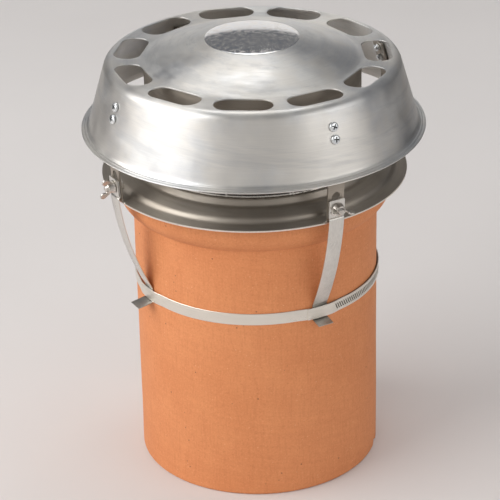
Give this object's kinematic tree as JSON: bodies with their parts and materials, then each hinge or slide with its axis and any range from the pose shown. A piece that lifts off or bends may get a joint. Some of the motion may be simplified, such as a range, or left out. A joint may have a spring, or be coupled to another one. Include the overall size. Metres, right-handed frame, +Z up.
{
  "type": "chimney pot",
  "caption": "Round terracotta chimney pot with a swollen head, carrying a strapped-on spun metal wind-proof cowl with a slotted top and a wire bird guard.",
  "frame": {"origin": "centre of the pot's foot, on the surface that it stands on", "axes": "+Z up along the flue, -Y the side that the picture shows"},
  "size_m": [0.3336, 0.3336, 0.4432],
  "materials": {
    "terracotta": "matt unglazed, fine sandy grain",
    "spun_aluminium": "spun and brushed",
    "stainless_sheet": "semi-bright sheet",
    "zinc_plated": "bright zinc plate"
  },
  "bodies": {
    "root": {"pot": "terracotta", "base_plate": "stainless_sheet", "wind_drum": "stainless_sheet", "bird_guard": "stainless_sheet", "cowl": "spun_aluminium", "band": "stainless_sheet", "worm_housing": "stainless_sheet", "worm_screw": "zinc_plated", "strap_front_right": "stainless_sheet", "clamp_plate_front_right": "stainless_sheet", "clamp_bolt_front_right": "zinc_plated", "wing_nut_front_right": "zinc_plated", "cowl_screw_front_right_lower": "zinc_plated", "cowl_nut_front_right_lower": "zinc_plated", "cowl_screw_front_right_upper": "zinc_plated", "cowl_nut_front_right_upper": "zinc_plated", "strap_back_right": "stainless_sheet", "clamp_plate_back_right": "stainless_sheet", "clamp_bolt_back_right": "zinc_plated", "wing_nut_back_right": "zinc_plated", "cowl_screw_back_right_lower": "zinc_plated", "cowl_nut_back_right_lower": "zinc_plated", "cowl_screw_back_right_upper": "zinc_plated", "cowl_nut_back_right_upper": "zinc_plated", "strap_back_left": "stainless_sheet", "clamp_plate_back_left": "stainless_sheet", "clamp_bolt_back_left": "zinc_plated", "wing_nut_back_left": "zinc_plated", "cowl_screw_back_left_lower": "zinc_plated", "cowl_nut_back_left_lower": "zinc_plated", "cowl_screw_back_left_upper": "zinc_plated", "cowl_nut_back_left_upper": "zinc_plated", "strap_front_left": "stainless_sheet", "clamp_plate_front_left": "stainless_sheet", "clamp_bolt_front_left": "zinc_plated", "wing_nut_front_left": "zinc_plated", "cowl_screw_front_left_lower": "zinc_plated", "cowl_nut_front_left_lower": "zinc_plated", "cowl_screw_front_left_upper": "zinc_plated", "cowl_nut_front_left_upper": "zinc_plated"}
  },
  "joints": []
}
